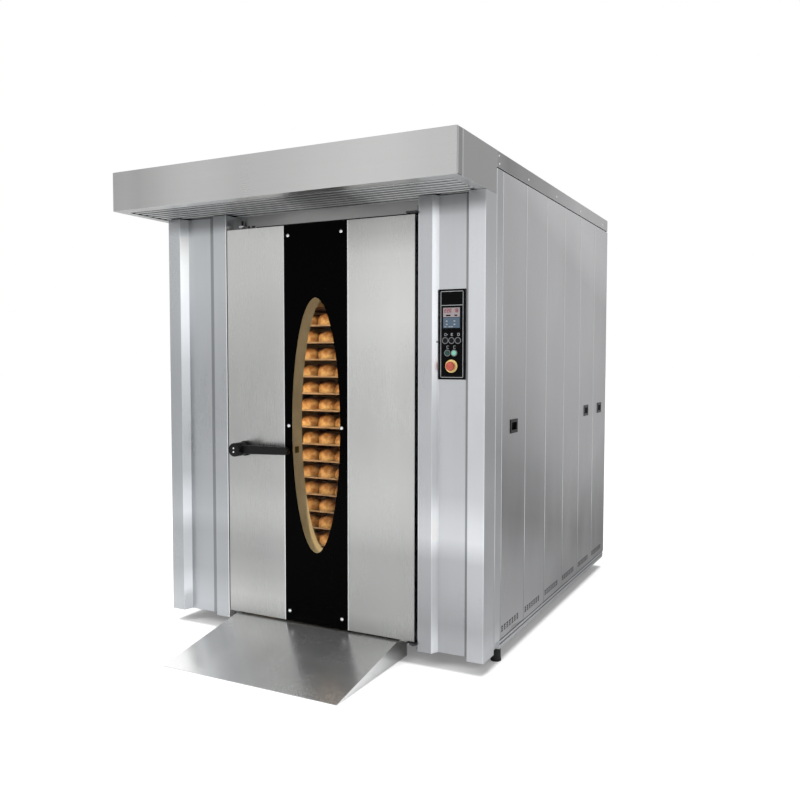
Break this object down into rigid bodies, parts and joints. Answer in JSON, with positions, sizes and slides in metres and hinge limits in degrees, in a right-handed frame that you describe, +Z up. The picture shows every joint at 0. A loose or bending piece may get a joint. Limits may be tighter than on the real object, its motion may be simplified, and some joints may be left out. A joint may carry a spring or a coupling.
{
  "type": "rotating rack oven",
  "caption": "Free-standing stainless rack oven with a turning trolley, a tall hinged door with an oval window in a black strip, a canopy hood, a control panel and an entry ramp.",
  "frame": {"origin": "on the floor, midway between the two body sides, in the plane of the columns' front ribs", "axes": "+X to the right seen from the front, +Y into the oven towards its back, +Z up"},
  "size_m": [1.875, 2.782, 2.385],
  "materials": {
    "front_steel": "satin brushed upright grain",
    "side_steel": "satin brushed upright grain",
    "frame_steel": "satin",
    "liner_steel": "satin, heat toned",
    "rack_steel": "satin",
    "dark_iron": "matt",
    "motor_paint": "semi gloss",
    "mineral_wool": "fibrous",
    "seal": "matt",
    "wheel_plastic": "matt",
    "black_plastic": "fine grained",
    "black_glass": "polished",
    "clear_glass": "clear",
    "display_face": "gloss",
    "lamp_glass": "warm white",
    "dark_green": "gloss",
    "bright_green": "gloss",
    "stop_red": "gloss"
  },
  "bodies": {
    "body": {"chassis_frame": "frame_steel", "left_front_column": "front_steel", "right_front_column": "front_steel", "door_frame": "frame_steel", "ramp": "front_steel", "canopy_shell": "front_steel", "canopy_filter": "frame_steel", "canopy_fan_motor": "motor_paint", "roof_panel": "side_steel", "back_panel": "side_steel", "right_side_panel_1": "side_steel", "right_side_panel_2": "side_steel", "right_side_panel_3": "side_steel", "right_side_panel_4": "side_steel", "right_side_panel_5": "side_steel", "right_side_panel_6": "side_steel", "left_side_panels": "side_steel", "side_latch_1": "black_plastic", "side_latch_2": "black_plastic", "side_latch_3": "black_plastic", "chamber_shell": "liner_steel", "insulation_jacket": "mineral_wool", "air_duct_panel": "liner_steel", "heater_bank": "dark_iron", "steam_cascade": "dark_iron", "chamber_lamp": "lamp_glass", "circulation_motor": "motor_paint", "exhaust_duct": "frame_steel", "rack_bearing": "dark_iron", "gearmotor": "motor_paint", "drive_chain": "dark_iron", "door_hinge_lower": "frame_steel", "door_hinge_upper": "frame_steel", "control_panel": "black_plastic", "control_display": "display_face"},
    "door": {"door_shell": "front_steel", "door_inner_liner": "liner_steel", "door_glass_strip": "black_glass", "door_window_glass": "clear_glass", "door_inner_glass": "clear_glass", "door_gasket": "seal", "handle_rose": "black_plastic"},
    "lever": {"handle_lever": "black_plastic"},
    "rack": {"turntable": "liner_steel", "rack_trolley": "rack_steel", "rack_shaft": "dark_iron"},
    "drive_wheel": {"motor_sprocket": "dark_iron"},
    "air_fan": {"circulation_fan": "liner_steel"},
    "hood_fan": {"canopy_fan": "liner_steel"},
    "damper": {"damper_flap": "frame_steel"},
    "button_1": {"program_button_1": "black_plastic"},
    "button_2": {"program_button_2": "black_plastic"},
    "button_3": {"program_button_3": "black_plastic"},
    "lamp_key": {"lamp_button": "dark_green"},
    "start_key": {"start_button": "bright_green"},
    "stop_key": {"emergency_stop_button": "stop_red"},
    "wheel_1": {"trolley_wheel_1": "wheel_plastic"},
    "wheel_2": {"trolley_wheel_2": "wheel_plastic"},
    "wheel_3": {"trolley_wheel_3": "wheel_plastic"},
    "wheel_4": {"trolley_wheel_4": "wheel_plastic"}
  },
  "joints": [
    {"name": "door_swing", "type": "hinge", "parent": "body", "child": "door", "pos_m": [0.54, 0.024, 1.0905], "axis": [0, 0, 1], "range_deg": [0, 110]},
    {"name": "handle_turn", "type": "hinge", "parent": "door", "child": "lever", "pos_m": [-0.4, -0.05, 0.963], "axis": [0, 1, 0], "range_deg": [0, 55]},
    {"name": "rack_turn", "type": "hinge", "parent": "body", "child": "rack", "pos_m": [0.022, 0.72, 1], "axis": [0, 0, 1], "continuous": true},
    {"name": "drive_wheel_spin", "type": "hinge", "parent": "body", "child": "drive_wheel", "pos_m": [0.022, 1.02, 2.294], "axis": [0, 0, 1], "continuous": true},
    {"name": "air_fan_spin", "type": "hinge", "parent": "body", "child": "air_fan", "pos_m": [0.022, 1.383, 1.0935], "axis": [0, 1, 0], "continuous": true},
    {"name": "hood_fan_spin", "type": "hinge", "parent": "body", "child": "hood_fan", "pos_m": [0.022, -0.0925, 2.257], "axis": [0, 0, 1], "continuous": true},
    {"name": "damper_turn", "type": "hinge", "parent": "body", "child": "damper", "pos_m": [-0.35, 1.15, 2.24], "axis": [1, 0, 0], "range_deg": [0, 90]},
    {"name": "wheel_1_roll", "type": "hinge", "parent": "rack", "child": "wheel_1", "pos_m": [-0.368, 0.43, 0.1606], "axis": [1, 0, 0], "continuous": true},
    {"name": "wheel_2_roll", "type": "hinge", "parent": "rack", "child": "wheel_2", "pos_m": [0.412, 0.43, 0.1606], "axis": [1, 0, 0], "continuous": true},
    {"name": "wheel_3_roll", "type": "hinge", "parent": "rack", "child": "wheel_3", "pos_m": [-0.368, 1.01, 0.1606], "axis": [1, 0, 0], "continuous": true},
    {"name": "wheel_4_roll", "type": "hinge", "parent": "rack", "child": "wheel_4", "pos_m": [0.412, 1.01, 0.1606], "axis": [1, 0, 0], "continuous": true},
    {"name": "button_1_press", "type": "slide", "parent": "body", "child": "button_1", "axis": [0, 1, 0], "range_m": [0, 0.004], "stiffness_N_per_m": 600},
    {"name": "button_2_press", "type": "slide", "parent": "body", "child": "button_2", "axis": [0, 1, 0], "range_m": [0, 0.004], "stiffness_N_per_m": 600},
    {"name": "button_3_press", "type": "slide", "parent": "body", "child": "button_3", "axis": [0, 1, 0], "range_m": [0, 0.004], "stiffness_N_per_m": 600},
    {"name": "lamp_press", "type": "slide", "parent": "body", "child": "lamp_key", "axis": [0, 1, 0], "range_m": [0, 0.004], "stiffness_N_per_m": 600},
    {"name": "start_press", "type": "slide", "parent": "body", "child": "start_key", "axis": [0, 1, 0], "range_m": [0, 0.004], "stiffness_N_per_m": 600},
    {"name": "emergency_press", "type": "slide", "parent": "body", "child": "stop_key", "axis": [0, 1, 0], "range_m": [0, 0.006], "stiffness_N_per_m": 1500}
  ],
  "couplings": [
    {"joint": "drive_wheel_spin", "follows": "rack_turn", "ratio": 3}
  ]
}
